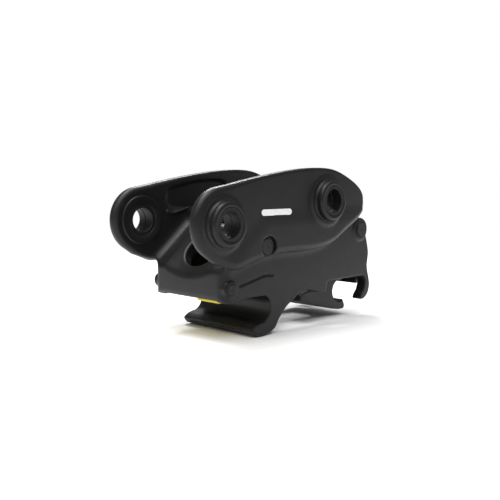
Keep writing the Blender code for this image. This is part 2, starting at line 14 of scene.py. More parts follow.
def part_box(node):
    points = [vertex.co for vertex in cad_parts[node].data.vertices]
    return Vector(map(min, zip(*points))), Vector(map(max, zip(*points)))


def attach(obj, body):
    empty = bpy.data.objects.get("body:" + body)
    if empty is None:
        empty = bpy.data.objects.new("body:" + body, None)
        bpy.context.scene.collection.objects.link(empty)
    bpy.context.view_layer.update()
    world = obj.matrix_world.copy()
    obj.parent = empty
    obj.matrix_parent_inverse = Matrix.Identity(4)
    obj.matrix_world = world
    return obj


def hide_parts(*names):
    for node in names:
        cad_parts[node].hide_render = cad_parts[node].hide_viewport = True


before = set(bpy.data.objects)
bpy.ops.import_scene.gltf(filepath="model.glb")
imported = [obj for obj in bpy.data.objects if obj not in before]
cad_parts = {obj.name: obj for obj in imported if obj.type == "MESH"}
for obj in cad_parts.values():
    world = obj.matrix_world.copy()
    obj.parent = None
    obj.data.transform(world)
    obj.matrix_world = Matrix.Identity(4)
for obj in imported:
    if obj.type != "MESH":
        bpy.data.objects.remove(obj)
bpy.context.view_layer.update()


def pin_place(node, origin=Vector((0.0, 0.0, 0.0))):
    """Centre of a node's box, seen from an origin."""
    low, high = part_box(node)
    return (low + high) / 2 - origin


ORIGIN = pin_place("dipper_bush_left")
ORIGIN.y = 0.0


def axis_of(node):
    """(x, z) of a round node's axis, seen from the dipper pin."""
    centre = pin_place(node, ORIGIN)
    return centre.x, centre.z


DIPPER_AXIS = (0.0, 0.0)
LINK_AXIS = axis_of("link_bush_left")
LOCK_AXIS = axis_of("lock_pin")
ANCHOR_AXIS = axis_of("anchor_pin")
HOOK_AXIS = axis_of("hook_pin")
ROD_AXIS = axis_of("rod_pin")
JAW_CENTRE = (0.210, -0.289)
SEAT_CENTRE, SEAT_RADIUS, HOOK_HALF = (0.688, -0.281), 0.040, 0.125
FRONT_CORNER, FRONT_CORNER_RADIUS = (0.063, -0.2285), 0.023

# distances from the middle plane: inner and outer faces of the ears and side plates
EAR_INNER, EAR_OUTER = 0.180, 0.218
WALL_INNER, WALL_OUTER = 0.1343, 0.172
COLLAR_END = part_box("dipper_hub_right")[1].y
BOSS_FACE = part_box("dipper_hub_right")[0].y
CYLINDER_ANGLE = math.atan2(ROD_AXIS[1] - ANCHOR_AXIS[1], ROD_AXIS[0] - ANCHOR_AXIS[0])

# front lock: its lip runs from the near end to LOCK_LIP_END short of the middle plane
LOCK_HALF, LOCK_EYE_RADIUS, LOCK_BORE, LOCK_LIP_END = 0.116, 0.0245, 0.0176, 0.012
LOCK_SUNK = 0.0028  # how much further in than the solids its pin ends and snap rings stand

CELL = 0.0026
FINE_CELL, FINEST_CELL = 0.6 * CELL, 0.5 * CELL
SIDES = (("left", -1), ("right", 1))


# --- materials --------------------------------------------------------------------------------
def new_material(name, roughness, metallic=0.0):
    """A material to fill in: returns it, its node tree, its shader and object coordinates."""
    material = bpy.data.materials.new(name)
    material.use_nodes = True
    tree = material.node_tree
    shader = tree.nodes["Principled BSDF"]
    shader.inputs["Roughness"].default_value = roughness
    shader.inputs["Metallic"].default_value = metallic
    where = tree.nodes.new("ShaderNodeTexCoord").outputs["Object"]
    return material, tree, shader, where


def noise(tree, where, scale, detail=3.0, stretch=None):
    """Noise in metres, optionally stretched along an axis."""
    if stretch:
        mapping = tree.nodes.new("ShaderNodeMapping")
        mapping.inputs["Scale"].default_value = stretch
        tree.links.new(where, mapping.inputs["Vector"])
        where = mapping.outputs["Vector"]
    texture = tree.nodes.new("ShaderNodeTexNoise")
    texture.inputs["Scale"].default_value = scale
    texture.inputs["Detail"].default_value = detail
    tree.links.new(where, texture.inputs["Vector"])
    return texture.outputs["Fac"]


def ramp(tree, fac, stops):
    """A colour ramp over (position, colour) stops."""
    node = tree.nodes.new("ShaderNodeValToRGB")
    elements = node.color_ramp.elements
    while len(elements) < len(stops):
        elements.new(0.5)
    for element, (position, colour) in zip(elements, stops):
        element.position = position
        element.color = (*colour, 1.0)
    tree.links.new(fac, node.inputs["Fac"])
    return node.outputs["Color"]


def span(tree, fac, low, high):
    """Stretch a 0 to 1 value over a range."""
    node = tree.nodes.new("ShaderNodeMapRange")
    node.inputs["To Min"].default_value = low
    node.inputs["To Max"].default_value = high
    tree.links.new(fac, node.inputs["Value"])
    return node.outputs["Result"]


def bump(tree, shader, height, distance, strength=1.0):
    """Bump the shader's normal by a height, distance in metres; calls chain."""
    node = tree.nodes.new("ShaderNodeBump")
    node.inputs["Distance"].default_value = distance
    node.inputs["Strength"].default_value = strength
    tree.links.new(height, node.inputs["Height"])
    earlier = shader.inputs["Normal"].links
    if earlier:
        tree.links.new(earlier[0].from_socket, node.inputs["Normal"])
    tree.links.new(node.outputs["Normal"], shader.inputs["Normal"])


def painted(name, dark, light, roughness, specular=0.5):
    """Sprayed paint over a casting: faint cloudiness, orange peel and a fine grain."""
    material, tree, shader, where = new_material(name, roughness)
    shader.inputs["Specular IOR Level"].default_value = specular
    clouds = noise(tree, where, 9.0, 4.0)
    tree.links.new(ramp(tree, clouds, [(0.3, dark), (0.7, light)]), shader.inputs["Base Color"])
    patches = noise(tree, where, 28.0, 3.0)
    gloss = span(tree, patches, roughness - 0.06, roughness + 0.06)
    tree.links.new(gloss, shader.inputs["Roughness"])
    bump(tree, shader, noise(tree, where, 55.0, 2.0), 0.0006, 0.30)
    bump(tree, shader, noise(tree, where, 900.0, 2.0), 0.00010, 0.30)
    return material


def machined(name, dark, light, roughness, stretch=(60.0, 4.0, 60.0)):
    """Turned or ground metal: fine lines along the pins and small changes in gloss."""
    material, tree, shader, where = new_material(name, roughness, 1.0)
    lines = noise(tree, where, 9.0, 4.0, stretch)
    tree.links.new(ramp(tree, lines, [(0.3, dark), (0.7, light)]), shader.inputs["Base Color"])
    smears = noise(tree, where, 35.0, 3.0)
    gloss = span(tree, smears, roughness - 0.08, roughness + 0.10)
    tree.links.new(gloss, shader.inputs["Roughness"])
    bump(tree, shader, lines, 0.00008, 0.5)
    return material


def moulded(name, dark, light, roughness):
    """Rubber or film: even colour with a slight mottle and a fine grain."""
    material, tree, shader, where = new_material(name, roughness)
    mottle = noise(tree, where, 60.0, 3.0)
    tree.links.new(ramp(tree, mottle, [(0.3, dark), (0.7, light)]), shader.inputs["Base Color"])
    gloss = span(tree, mottle, roughness - 0.05, roughness + 0.05)
    tree.links.new(gloss, shader.inputs["Roughness"])
    bump(tree, shader, noise(tree, where, 1200.0, 2.0), 0.00005, 0.4)
    return material


MATERIALS = {
    "black_paint": painted("charcoal_paint", (0.0062, 0.0065, 0.0065), (0.0086, 0.0090, 0.0089),
                           0.40, specular=0.30),
    "yellow_paint": painted("yellow_lock_paint", (0.72, 0.56, 0.015), (0.80, 0.63, 0.03), 0.48),
    "bare_steel": machined("oiled_steel", (0.20, 0.20, 0.20), (0.32, 0.32, 0.31), 0.36),
    "dark_steel": machined("blackened_steel", (0.030, 0.030, 0.030), (0.048, 0.048, 0.048),
                           0.55),
    "bronze": machined("bush_bronze", (0.42, 0.27, 0.10), (0.58, 0.40, 0.17), 0.38),
    "chrome": machined("rod_chrome", (0.66, 0.66, 0.68), (0.78, 0.78, 0.80), 0.14),
    "seal_rubber": moulded("seal_rubber_black", (0.012, 0.012, 0.012), (0.02, 0.02, 0.02),
                           0.66),
    "white_film": moulded("label_film", (0.80, 0.80, 0.79), (0.88, 0.88, 0.87), 0.48),
}


# --- outlines in the x-z plane ----------------------------------------------------------------
def arc(centre, radius, start, end, steps=16):
    """Points on an arc, angles in degrees from +x towards +z."""
    angles = [math.radians(start + (end - start) * i / steps) for i in range(steps + 1)]
    return [(centre[0] + radius * math.cos(a), centre[1] + radius * math.sin(a)) for a in angles]


def smooth(points, steps=6):
    """A smooth curve through an open row of points."""
    ends = [points[0]] + list(points) + [points[-1]]
    curve = []
    for before, first, second, after in zip(ends, ends[1:], ends[2:], ends[3:]):
        for i in range(steps):
            t = i / steps
            curve.append(tuple(0.5 * (2 * b + (c - a) * t + (2 * a - 5 * b + 4 * c - d) * t ** 2
                                      + (3 * b - a - 3 * c + d) * t ** 3)
                               for a, b, c, d in zip(before, first, second, after)))
    return curve + [points[-1]]


# --- solids as distances on a grid ------------------------------------------------------------
class Grid:
    """Sample points in a box; a distance field over them is negative inside a solid."""

    def __init__(self, low, high, cell):
        self.cell = cell
        self.low = np.array(low, float)
        axes = [a + cell * np.arange(int(math.ceil((b - a) / cell)) + 1)
                for a, b in zip(low, high)]
        self.x = axes[0][:, None, None].astype(np.float32)
        self.y = axes[1][None, :, None].astype(np.float32)
        self.z = axes[2][None, None, :].astype(np.float32)

    def outline(self, points):
        """Distance to a closed outline in the x-z plane, the same at every y."""
        x, z = self.x[:, 0, :], self.z[0]
        nearest = np.full((x.shape[0], z.shape[1]), 1e9, np.float32)
        inside = np.zeros(nearest.shape, bool)
        for (x1, z1), (x2, z2) in zip(points, points[1:] + points[:1]):
            dx, dz = x2 - x1, z2 - z1
            length = dx * dx + dz * dz
            if length < 1e-14:
                continue
            t = np.clip(((x - x1) * dx + (z - z1) * dz) / length, 0.0, 1.0)
            nearest = np.minimum(nearest, (x - x1 - t * dx) ** 2 + (z - z1 - t * dz) ** 2)
            if z1 != z2:
                inside ^= ((z1 > z) != (z2 > z)) & (x < dx * (z - z1) / dz + x1)
        distance = np.sqrt(nearest)
        return np.where(inside, -distance, distance)[:, None, :]

    def line(self, points):
        """Distance to an open line in the x-z plane."""
        x, z = self.x[:, 0, :], self.z[0]
        nearest = np.full((x.shape[0], z.shape[1]), 1e9, np.float32)
        for (x1, z1), (x2, z2) in zip(points, points[1:]):
            dx, dz = x2 - x1, z2 - z1
            t = np.clip(((x - x1) * dx + (z - z1) * dz) / (dx * dx + dz * dz), 0.0, 1.0)
            nearest = np.minimum(nearest, (x - x1 - t * dx) ** 2 + (z - z1 - t * dz) ** 2)
        return np.sqrt(nearest)[:, None, :]

    def bar(self, axis, radius):
        """Distance to an endless round bar along y."""
        return np.sqrt((self.x - axis[0]) ** 2 + (self.z - axis[1]) ** 2) - radius


def rounded(a, b, edge):
    """What two distances share, their outer edge rounded."""
    a, b = a + edge, b + edge
    return np.minimum(np.maximum(a, b), 0) + np.hypot(np.maximum(a, 0), np.maximum(b, 0)) - edge


def join(a, b, fillet=0.0):
    """Union, with a fillet in the corner."""
    low = np.minimum(a, b)
    if np.any(fillet):
        low = low - np.maximum(fillet - np.abs(a - b), 0) ** 2 / (4 * fillet)
    return low


def cut(a, b, soften=0.0):
    """Take b away from a, softening the new edge."""
    return -join(-a, b, soften)


def keep(a, b, soften=0.0):
    """What a and b share, softening the edge."""
    return -join(-a, -b, soften)


def surface(field):
    """Skin of a field in cell units: one point in each cell that it crosses, joined by quads."""
    inside = field < 0
    nx, ny, nz = (n - 1 for n in field.shape)
    corners = [(i, j, k) for i in (0, 1) for j in (0, 1) for k in (0, 1)]
    count = np.zeros((nx, ny, nz), np.uint8)
    for i, j, k in corners:
        count += inside[i:i + nx, j:j + ny, k:k + nz]
    cells = np.argwhere((count > 0) & (count < 8))
    number = np.full(count.shape, -1, np.int64)
    number[tuple(cells.T)] = np.arange(len(cells))
    values = {c: field[tuple((cells + c).T)] for c in corners}
    total, hits = np.zeros((len(cells), 3)), np.zeros(len(cells))
    for first in corners:
        for axis in range(3):
            if first[axis]:
                continue
            second = tuple(v + (n == axis) for n, v in enumerate(first))
            a, b = values[first], values[second]
            crossing = (a < 0) != (b < 0)
            spot = np.tile(np.array(first, float), (crossing.sum(), 1))
            spot[:, axis] = a[crossing] / (a[crossing] - b[crossing])
            total[crossing] += spot
            hits += crossing
    points = cells + total / hits[:, None]
    faces = []
    for axis in range(3):
        others = [n for n in range(3) if n != axis]
        here, there = [slice(None)] * 3, [slice(None)] * 3
        here[axis], there[axis] = slice(0, -1), slice(1, None)
        for n in others:
            here[n] = there[n] = slice(1, -1)
        starts = inside[tuple(here)]
        at = np.argwhere(starts != inside[tuple(there)])
        outward = starts[tuple(at.T)]
        quad = []
        for step in ((0, 0), (1, 0), (1, 1), (0, 1)):
            place = at.copy()
            for n, s in zip(others, step):
                place[:, n] += s
            quad.append(number[tuple(place.T)])
        quad = np.stack(quad, 1)
        flip = ~outward if axis != 1 else outward
        quad[flip] = quad[flip][:, ::-1]
        faces.append(quad)
    return points, np.concatenate(faces)


def settle(field, points, rounds=3):
    """Slide points onto the surface along the field's slope, in cell units."""
    for _ in range(rounds):
        base = np.clip(np.floor(points).astype(int), 0, np.array(field.shape) - 2)
        t = points - base
        value, slope = np.zeros(len(points)), np.zeros((len(points), 3))
        for i in (0, 1):
            for j in (0, 1):
                for k in (0, 1):
                    sample = field[base[:, 0] + i, base[:, 1] + j, base[:, 2] + k]
                    wx, wy, wz = (t[:, n] if bit else 1 - t[:, n]
                                  for n, bit in enumerate((i, j, k)))
                    value += sample * wx * wy * wz
                    slope[:, 0] += (2 * i - 1) * sample * wy * wz
                    slope[:, 1] += (2 * j - 1) * sample * wx * wz
                    slope[:, 2] += (2 * k - 1) * sample * wx * wy
        move = (value / np.maximum((slope ** 2).sum(1), 1e-12))[:, None] * slope
        points = points - np.clip(move, -0.4, 0.4)
    return points


def skin(name, grid, field, place=None):
    """A finished mesh of a field, in the frame's place or moved by a matrix of its own."""
    field = np.broadcast_to(field, (grid.x.size, grid.y.size, grid.z.size))
    points, faces = surface(field)
    points = settle(field, points) * grid.cell + grid.low
    mesh = bpy.data.meshes.new(name)
    mesh.vertices.add(len(points))
    mesh.vertices.foreach_set("co", points.astype(np.float32).ravel())
    mesh.loops.add(faces.size)
    mesh.loops.foreach_set("vertex_index", faces.astype(np.int32).ravel())
    mesh.polygons.add(len(faces))
    mesh.polygons.foreach_set("loop_start", np.arange(0, faces.size, 4, dtype=np.int32))
    mesh.update(calc_edges=True)
    mesh.validate()
    mesh.transform(Matrix.Translation(ORIGIN) @ (place or Matrix()))
    return mesh


def trim(mesh, planes):
    """Cut a mesh flat at y planes: (y, keep above) pairs; the cuts are closed again."""
    shape = bmesh.new()
    shape.from_mesh(mesh)
    for y, above in planes:
        geometry = shape.verts[:] + shape.edges[:] + shape.faces[:]
        bmesh.ops.bisect_plane(shape, geom=geometry, plane_co=(0, y, 0), plane_no=(0, 1, 0),
                               dist=1e-7, clear_outer=not above, clear_inner=above)
        rim = [edge for edge in shape.edges
               if edge.is_boundary and all(abs(vert.co.y - y) < 1e-6 for vert in edge.verts)]
        closing = bmesh.ops.triangle_fill(shape, use_beauty=False, use_dissolve=False, edges=rim,
                                          normal=(0, -1 if above else 1, 0))
        for face in closing["geom"]:
            if isinstance(face, bmesh.types.BMFace):
                face.smooth = False
    bmesh.ops.recalc_face_normals(shape, faces=shape.faces)
    shape.to_mesh(mesh)
    shape.free()
    return mesh


# --- making pieces ----------------------------------------------------------------------------
def piece(name, data, body, look, *nodes, sharp=35):
    """File a mesh or curve as a piece that rides on a body and stands for CAD nodes."""
    obj = bpy.data.objects.new(name, data)
    bpy.context.scene.collection.objects.link(obj)
    data.materials.clear()
    data.materials.append(MATERIALS[look])
    if obj.type == "MESH":
        data.shade_smooth()
        data.set_sharp_from_angle(angle=math.radians(sharp))
    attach(obj, body)
    if nodes:
        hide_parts(*nodes)
    return obj


def lathe(name, profile, place, sides=96):
    """A closed (radius, height) profile turned about z, then moved by a matrix."""
    mesh = bpy.data.meshes.new(name)
    shape = bmesh.new()
    angles = [2 * math.pi * i / sides for i in range(sides)]
    rings = []
    for radius, height in profile:
        turns = angles if radius > 1e-6 else [0.0]
        rings.append([shape.verts.new((radius * math.cos(a), radius * math.sin(a), height))
                      for a in turns])
    for upper, lower in zip(rings, rings[1:] + rings[:1]):
        if len(upper) == 1 and len(lower) == 1:
            continue
        for i in range(sides):
            j = (i + 1) % sides
            corners = [upper[i % len(upper)], upper[j % len(upper)],
                       lower[j % len(lower)], lower[i % len(lower)]]
            shape.faces.new(list(dict.fromkeys(corners)))
    bmesh.ops.recalc_face_normals(shape, faces=shape.faces)
    shape.transform(Matrix.Translation(ORIGIN) @ place)
    shape.to_mesh(mesh)
    shape.free()
    return mesh


def along_pin(axis, sign=1):
    """Turns z into the pin direction, outwards on the given side."""
    return (Matrix.Translation((axis[0], 0.0, axis[1]))
            @ Matrix.Rotation(-sign * math.pi / 2, 4, "X"))


def along_cylinder(lift=0.0, y=0.0, distance=0.0):
    """Turns z into the cylinder's direction, from the anchor pin."""
    return (Matrix.Translation((ANCHOR_AXIS[0], 0.0, ANCHOR_AXIS[1]))
            @ Matrix.Rotation(math.pi / 2 - CYLINDER_ANGLE, 4, "Y")
            @ Matrix.Translation((-lift, y, distance)))


def turned(name, profile, place, body, look, node, sides=96, sharp=30):
    """A profile turned about z and moved by a matrix, filed as a piece."""
    piece(name, lathe(name, profile, place, sides), body, look, node, sharp=sharp)


# --- the cast frame ---------------------------------------------------------------------------
RAMP_FOOT, RAMP_HEAD = (0.062, -0.130), (0.192, -0.019)
RAMP_SLOPE = (RAMP_HEAD[1] - RAMP_FOOT[1]) / (RAMP_HEAD[0] - RAMP_FOOT[0])
RAMP_ANGLE = math.atan(RAMP_SLOPE)
FRONT_X = 0.040
EDGE_ROUND, CROWN_ROUND, FRONT_SIDE_ROUND = 0.0165, 0.0095, 0.032
INNER_FILLET, OUTER_FILLET = 0.042, 0.080
HOLE_CENTRE, HOLE_RADIUS = (0.119, -0.081), 0.079
HOLE_DEPTH, HOLE_THROUGH = 0.042, 0.120
DISH_DEPTH, DISH_HALF = 0.022, 0.115  # hollow of the ramp and half its width
POCKET_DEPTH, STEP_DEPTH = 0.008, 0.004
SWELL_RADIUS, SWELL_MIDDLE, SWELL_HALF = 0.083, 0.205, 0.0168  # thick ring round each hub
HUB_HOLE = 0.0691
ANCHOR_RECESS, RECESS_FLOOR, ANCHOR_RELIEF = 0.0335, 0.2068, 0.0365
SHELL, OVERLAP = 0.012, 0.010  # front wall's thickness; grid beyond a cut
PIN_BOSSES = (  # axis, radius, distance of the outer face from the middle plane, blend
    (LOCK_AXIS, 0.0262, 0.1745, 0.004),
    (HOOK_AXIS, 0.0405, 0.177, 0.010),
)
PIN_HOLES = ((ANCHOR_AXIS, 0.0265), (LOCK_AXIS, LOCK_BORE), (HOOK_AXIS, 0.0256))


def ear_outline():
    """Side view of an ear: round nose, long crowned top, rounded rear and stepped lower edge."""
    nose = arc(DIPPER_AXIS, 0.1115, 98, 232, 40)
    lower = smooth([(-0.030, -0.114), (0.020, -0.131), (0.062, -0.135), (0.120, -0.120),
                    (0.211, -0.101), (0.305, -0.096), (0.425, -0.096), (0.526, -0.078),
                    (0.607, -0.037), (0.680, 0.000), (0.712, 0.022)])
    rear = smooth([(0.718, 0.050), (0.709, 0.083), (0.676, 0.114), (0.603, 0.148),
                   (0.533, 0.169), (0.455, 0.1745), (0.350, 0.169), (0.230, 0.1535),
                   (0.100, 0.1315), (0.040, 0.1200)])
    return nose + lower + rear


def pocket_outline():
    """Casting pocket in the inside of an ear, between its two bosses."""
    return (arc((0.147, 0.072), 0.034, 100, 262, 14)
            + smooth([(0.200, 0.036), (0.290, 0.040), (0.360, 0.050), (0.392, 0.080),
                      (0.384, 0.116), (0.350, 0.130), (0.260, 0.127), (0.200, 0.118)]))


def jaw_mouth():
    """The front jaw's mouth, from the roof's front corner round the seat to the tongue tip."""
    return ([(0.135, -0.243), (0.215, -0.243)] + arc((0.218, -0.277), 0.034, 90, 10, 12)
            + [(0.2525, -0.292)] + arc(JAW_CENTRE, 0.0425, -8, -92, 14)
            + [(0.190, -0.3365), (0.177, -0.344)])


def jaw_underside():
    """Under the tongue and up behind the seat to the belly line."""
    return ([(0.170, -0.350), (0.172, -0.358)]
            + smooth([(0.178, -0.366), (0.186, -0.3715), (0.206, -0.3753), (0.226, -0.3750),
                      (0.264, -0.364), (0.283, -0.350), (0.297, -0.328), (0.330, -0.296),
                      (0.362, -0.276)]))


def body_outline():
    """Side view of the lower body, from the front face over the top, round the rear and back."""
    top = [(FRONT_X, -0.160)] + arc((0.072, -0.160), 0.032, 170, 140, 6)
    top += [RAMP_HEAD, (0.225, -0.016), (0.560, -0.020)]
    top += smooth([(0.600, -0.018), (0.650, -0.010), (0.700, -0.012)])
    rear = (arc(HOOK_AXIS, 0.041, 110, -20, 20)
            + smooth([(0.792, -0.086), (0.806, -0.140), (0.800, -0.195), (0.8145, -0.245),
                      (0.8165, -0.272), (0.808, -0.297), (0.790, -0.313)])
            + [(0.780, -0.318), (0.763, -0.318), (0.757, -0.312), (0.764, -0.298),
               (0.779, -0.284)])
    rear_mouth = ([(0.787, -0.262)] + arc((0.765, -0.249), 0.022, 0, 90, 8)
                  + arc((0.570, -0.247), 0.020, 90, 180, 8))
    belly = smooth([(0.546, -0.264), (0.520, -0.266), (0.480, -0.255), (0.435, -0.246),
                    (0.398, -0.255), (0.373, -0.272)])
    corner = [(0.098, -0.2465)] + arc(FRONT_CORNER, FRONT_CORNER_RADIUS, 270, 180, 12)
    return top + rear + rear_mouth + belly + jaw_underside()[::-1] + jaw_mouth()[::-1] + corner


def above_ramp(grid):
    """Height above the ramp between the ears, which dips towards its middle and foot."""
    across = np.clip(1 - (grid.y / DISH_HALF) ** 2, 0, 1)
    along = np.clip((RAMP_HEAD[0] - grid.x) / (RAMP_HEAD[0] - RAMP_FOOT[0]), 0, 1.2)
    line = RAMP_FOOT[1] + RAMP_SLOPE * (grid.x - RAMP_FOOT[0])
    return (grid.z - line + DISH_DEPTH * across * along) * math.cos(RAMP_ANGLE)


def service_hole(grid, deep):
    """Round passage square to the ramp, down to a depth."""
    x, z = grid.x - HOLE_CENTRE[0], grid.z - HOLE_CENTRE[1]
    along = x * math.cos(RAMP_ANGLE) + z * math.sin(RAMP_ANGLE)
    depth = x * math.sin(RAMP_ANGLE) - z * math.cos(RAMP_ANGLE)
    return keep(np.hypot(along, grid.y) - HOLE_RADIUS, depth - deep)


def casting(grid):
    """Outer form of the whole cast frame, solid between its side plates."""
    y = np.abs(grid.y)

    # ears: the outer face draws in towards the rear, a pocket lightens the inner face
    inward = 0.006 * np.clip((grid.x - 0.57) / 0.15, 0, 1) ** 2
    half = (EAR_OUTER - EAR_INNER - inward) / 2
    crown = np.clip((grid.x - 0.03) / 0.12, 0, 1) * np.clip((grid.z - 0.04) / 0.04, 0, 1)
    edge = EDGE_ROUND + (CROWN_ROUND - EDGE_ROUND) * crown
    ear = rounded(grid.outline(ear_outline()), np.abs(y - EAR_INNER - half) - half, edge)
    pocket = rounded(grid.outline(pocket_outline()), y - EAR_INNER - POCKET_DEPTH, 0.006)
    ear = cut(ear, pocket, 0.018)
    for axis in (DIPPER_AXIS, LINK_AXIS):
        swell = rounded(grid.bar(axis, SWELL_RADIUS), np.abs(y - SWELL_MIDDLE) - SWELL_HALF, 0.004)
        ear = join(ear, swell, 0.010)

    # lower body with its round front corners, cut back to the ramp
    body = rounded(grid.outline(body_outline()), y - WALL_OUTER, 0.004)
    body = np.maximum(body, rounded(FRONT_X - grid.x, y - WALL_OUTER, FRONT_SIDE_ROUND))
    body = keep(body, above_ramp(grid), 0.012)
    for axis, radius, face, blend in PIN_BOSSES:
        body = join(body, rounded(grid.bar(axis, radius), y - face, 0.002), blend)
    step = smooth([(0.112, -0.199), (0.150, -0.191), (0.202, -0.180), (0.231, -0.175),
                   (0.262, -0.178)])
    body = cut(body, keep(grid.line(step) - 0.0030, WALL_OUTER - STEP_DEPTH - y), 0.004)

    # the fillet between them is fuller under the outer half of the ear
    outside = np.clip((y - 0.186) / 0.024, 0, 1)
    fillet = INNER_FILLET + (OUTER_FILLET - INNER_FILLET) * outside ** 2 * (3 - 2 * outside)
    solid = join(ear, body, fillet)

    # a small ledge on the inner face, under the pocket
    ledge = smooth([(0.108, 0.026), (0.122, 0.019), (0.138, 0.019), (0.170, 0.027), (0.206, 0.038)])
    solid = join(solid, np.hypot(grid.line(ledge), y - EAR_INNER + 0.001) - 0.0045, 0.006)
    return cut(solid, service_hole(grid, HOLE_DEPTH), 0.008)


def side_castings():
    """Ear and side plate of each side: one skin for the left, mirrored to the right."""
    grid = Grid((-0.122, -0.256, -0.384), (0.826, -WALL_INNER + OVERLAP, 0.182), CELL)
    y = np.abs(grid.y)
    solid = casting(grid)
    for axis in (DIPPER_AXIS, LINK_AXIS):
        solid = cut(solid, grid.bar(axis, HUB_HOLE))
    solid = cut(solid, keep(grid.bar(ANCHOR_AXIS, ANCHOR_RECESS), RECESS_FLOOR - y), 0.003)
    for axis, radius in PIN_HOLES:
        solid = cut(solid, grid.bar(axis, radius))
    mesh = trim(skin("left_side_casting", grid, solid), [(-WALL_INNER, False)])
    piece("left_side_casting", mesh, "coupler_frame", "black_paint", "left_ear", "left_side_plate")
    other = mesh.copy()
    other.name = "right_side_casting"
    other.transform(Matrix.Scale(-1, 4, (0, 1, 0)))
    other.flip_normals()
    piece("right_side_casting", other, "coupler_frame", "black_paint", "right_ear",
          "right_side_plate")


def centre_castings():
    """Front wall with the ramp and its hole, and the middle of the fixed jaw."""
    reach = WALL_INNER + OVERLAP
    grid = Grid((0.020, -reach, -0.384), (0.325, reach, 0.040), CELL)
    solid = casting(grid)
    zone = grid.outline([(0.000, -0.2455), (0.0585, -0.2455), (0.070, -0.200), (0.102, -0.160),
                         (0.236, -0.030), (0.236, 0.060), (0.000, 0.060)])
    wall = keep(keep(solid, -(solid + SHELL)), zone, 0.003)
    wall = cut(wall, service_hole(grid, HOLE_THROUGH))
    wall = cut(wall, grid.bar(LOCK_AXIS, LOCK_EYE_RADIUS + 0.001))
    wall = cut(wall, grid.bar(ANCHOR_AXIS, ANCHOR_RELIEF))
    limits = [(-WALL_INNER, True), (WALL_INNER, False)]
    mesh = trim(skin("front_wall_casting", grid, wall), limits)
    piece("front_wall_casting", mesh, "coupler_frame", "black_paint", "front_wall")

    back = smooth([(0.292, -0.312), (0.300, -0.285), (0.296, -0.250), (0.278, -0.222),
                   (0.252, -0.208)])
    zone = grid.outline([(0.190, -0.212), (0.190, -0.300), (0.140, -0.330), (0.140, -0.420),
                         (0.340, -0.420), (0.3005, -0.330)] + back)
    mesh = trim(skin("front_jaw_casting", grid, keep(solid, zone, 0.003)), limits)
    piece("front_jaw_casting", mesh, "coupler_frame", "black_paint", "front_jaw")


def plate_piece(name, outline, y_from, y_to, edge, body, look, *nodes):
    """A flat outline in the x-z plane, extruded along y, its corners rounded."""
    mesh = bpy.data.meshes.new(name)
    shape = bmesh.new()
    near, far = ([shape.verts.new((x, y, z)) for x, z in outline] for y in (y_from, y_to))
    shape.faces.new(near)
    shape.faces.new(far[::-1])
    for i in range(len(outline)):
        j = (i + 1) % len(outline)
        shape.faces.new((near[j], near[i], far[i], far[j]))
    bmesh.ops.recalc_face_normals(shape, faces=shape.faces)
    corners = [e for e in shape.edges if e.calc_face_angle() > math.radians(30)]
    bmesh.ops.bevel(shape, geom=corners, offset=edge, segments=3, profile=0.5,
                    affect="EDGES", clamp_overlap=True)
    shape.transform(Matrix.Translation(ORIGIN))
    shape.to_mesh(mesh)
    shape.free()
    return piece(name, mesh, body, look, *nodes)


def tube_piece(name, points, radius, body, look, *nodes):
    """A round wire or pipe along a list of points in the frame's place."""
    curve = bpy.data.curves.new(name, "CURVE")
    curve.dimensions = "3D"
    curve.bevel_depth = radius
    curve.bevel_resolution = 6
    curve.use_fill_caps = True
    spline = curve.splines.new("POLY")
    spline.points.add(len(points) - 1)
    for point, spot in zip(spline.points, points):
        point.co = (*spot, 1.0)
    drawn = bpy.data.objects.new(name + "_drawn", curve)
    bpy.context.scene.collection.objects.link(drawn)
    bpy.context.view_layer.update()
    depsgraph = bpy.context.evaluated_depsgraph_get()
    mesh = bpy.data.meshes.new_from_object(drawn.evaluated_get(depsgraph))
    bpy.data.objects.remove(drawn)
    shape = bmesh.new()
    shape.from_mesh(mesh)
    bmesh.ops.remove_doubles(shape, verts=shape.verts, dist=1e-6)
    bmesh.ops.recalc_face_normals(shape, faces=shape.faces)
    shape.to_mesh(mesh)
    shape.free()
    return piece(name, mesh, body, look, *nodes)


# --- hubs, bushes, pins and rings -------------------------------------------------------------
def hub_profile():
    """Collar with a round outer edge, a flared foot on the ear and a round thrust flange."""
    return ([(0.0525, COLLAR_END - 0.0015), (0.0540, COLLAR_END)]
            + arc((0.0592, COLLAR_END - 0.0095), 0.0095, 90, 0, 8)
            + arc((0.0787, 0.2318), 0.0100, 180, 270, 8)
            + [(0.0800, 0.2216), (0.0684, 0.2215), (0.0684, EAR_INNER - 0.0003)]
            + arc((0.0775, BOSS_FACE + 0.0045), 0.0045, 12, -90, 8)
            + [(0.0540, BOSS_FACE), (0.0525, BOSS_FACE + 0.0015)])


def bush_profile():
    """Pin bush with a lead-in chamfer at each end of its bore and a grease groove."""
    inner, outer = BOSS_FACE + 0.001, COLLAR_END - 0.0005
    middle = (inner + outer) / 2
    return [(0.0517, outer - 0.0008), (0.0510, outer), (0.0412, outer), (0.0400, outer - 0.0012),
            (0.0400, middle + 0.0050), (0.0418, middle + 0.0035), (0.0418, middle - 0.0035),
            (0.0400, middle - 0.0050), (0.0400, inner + 0.0012), (0.0412, inner), (0.0510, inner),
            (0.0517, inner + 0.0008)]


def pin_profile(radius, half, chamfer=0.0015, dimple=0.004):
    """A plain pin with chamfered ends and a turning centre in each."""
    end = [(0.0, half - dimple), (dimple, half), (radius - chamfer, half), (radius, half - chamfer)]
    return end + [(r, -h) for r, h in end[::-1]]


